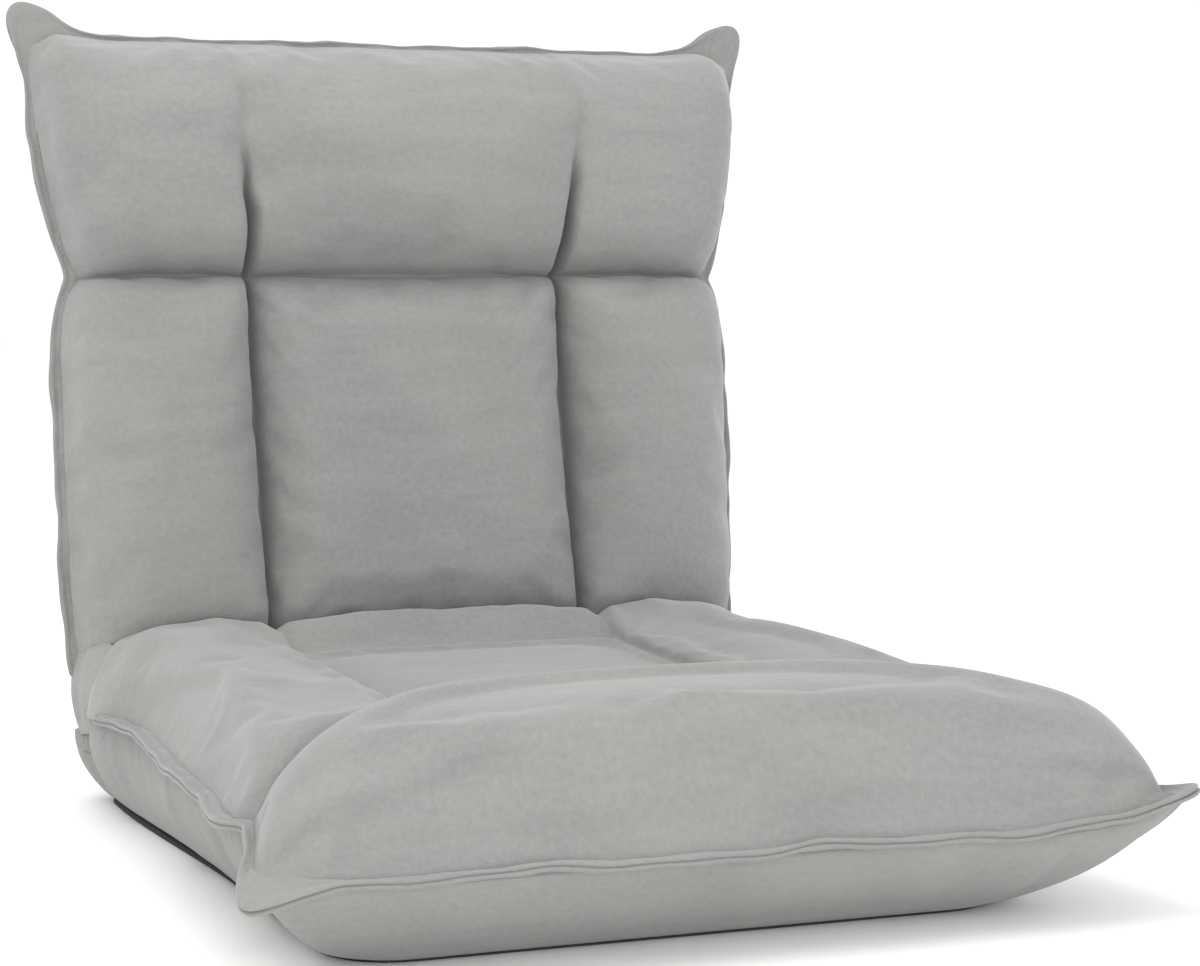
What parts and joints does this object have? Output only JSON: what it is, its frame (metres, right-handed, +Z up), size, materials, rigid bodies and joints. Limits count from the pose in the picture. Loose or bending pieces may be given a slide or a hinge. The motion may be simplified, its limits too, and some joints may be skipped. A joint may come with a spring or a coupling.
{
  "type": "folding floor chair",
  "caption": "Legless folding floor chair: padded seat and channelled back in grey suede cloth, joined by hidden ratchet hinges that set the back from flat to folded.",
  "frame": {"origin": "the floor point under the middle of the back's hinge axis", "axes": "+Z up, +Y to the rear, +X to the sitter's left as they sit facing -Y"},
  "size_m": [0.58, 0.6999, 0.5872],
  "materials": {
    "suede_cloth": "matte",
    "boxing_cloth": "matte",
    "bottom_cloth": "matte",
    "felt": "matte",
    "foam": "matte",
    "webbing": "matte",
    "frame_paint": "satin",
    "hinge_steel": "satin",
    "rivet_steel": "satin",
    "spring_steel": "satin"
  },
  "bodies": {
    "seat": {"base_cover": "boxing_cloth", "base_foam": "foam", "bottom_cloth": "bottom_cloth", "front_gusset": "suede_cloth", "left_frame_rivets": "rivet_steel", "left_inner_cheek": "hinge_steel", "left_outer_cheek": "hinge_steel", "left_pawl_pin": "rivet_steel", "left_pawl_spring": "spring_steel", "left_pivot_rivet": "rivet_steel", "left_spacer_rivet": "rivet_steel", "rear_gusset": "boxing_cloth", "right_frame_rivets": "rivet_steel", "right_inner_cheek": "hinge_steel", "right_outer_cheek": "hinge_steel", "right_pawl_pin": "rivet_steel", "right_pawl_spring": "spring_steel", "right_pivot_rivet": "rivet_steel", "right_spacer_rivet": "rivet_steel", "seat_centre_pad_foam": "foam", "seat_cover": "suede_cloth", "seat_cross_tubes": "frame_paint", "seat_felt": "felt", "seat_frame": "frame_paint", "seat_front_roll_foam": "foam", "seat_left_bolster_foam": "foam", "seat_rear_pad_foam": "foam", "seat_right_bolster_foam": "foam", "seat_straps": "webbing"},
    "back": {"back_centre_panel_foam": "foam", "back_cross_tubes": "frame_paint", "back_frame": "frame_paint", "back_front_cover": "suede_cloth", "back_left_panel_foam": "foam", "back_rear_cover": "boxing_cloth", "back_rear_foam": "foam", "back_right_panel_foam": "foam", "back_straps": "webbing", "head_roll_foam": "foam", "left_gear_plate": "hinge_steel", "left_tang_rivets": "rivet_steel", "right_gear_plate": "hinge_steel", "right_tang_rivets": "rivet_steel"},
    "left_pawl": {"left_pawl": "hinge_steel"},
    "right_pawl": {"right_pawl": "hinge_steel"}
  },
  "joints": [
    {"name": "back_recline", "type": "hinge", "parent": "seat", "child": "back", "pos_m": [0, 0, 0.06], "axis": [1, 0, 0], "range_deg": [-84, 60], "deforming": ["rear_gusset", "front_gusset"]},
    {"name": "left_pawl_pivot", "type": "hinge", "parent": "seat", "child": "left_pawl", "pos_m": [0.225, -0.03, 0.042], "axis": [-1, 0, 0], "range_deg": [0, 11.5], "stiffness_Nm_per_rad": 0.02, "springref_deg": 11.5},
    {"name": "right_pawl_pivot", "type": "hinge", "parent": "seat", "child": "right_pawl", "pos_m": [-0.225, -0.03, 0.042], "axis": [-1, 0, 0], "range_deg": [0, 11.5], "stiffness_Nm_per_rad": 0.02, "springref_deg": 11.5}
  ]
}
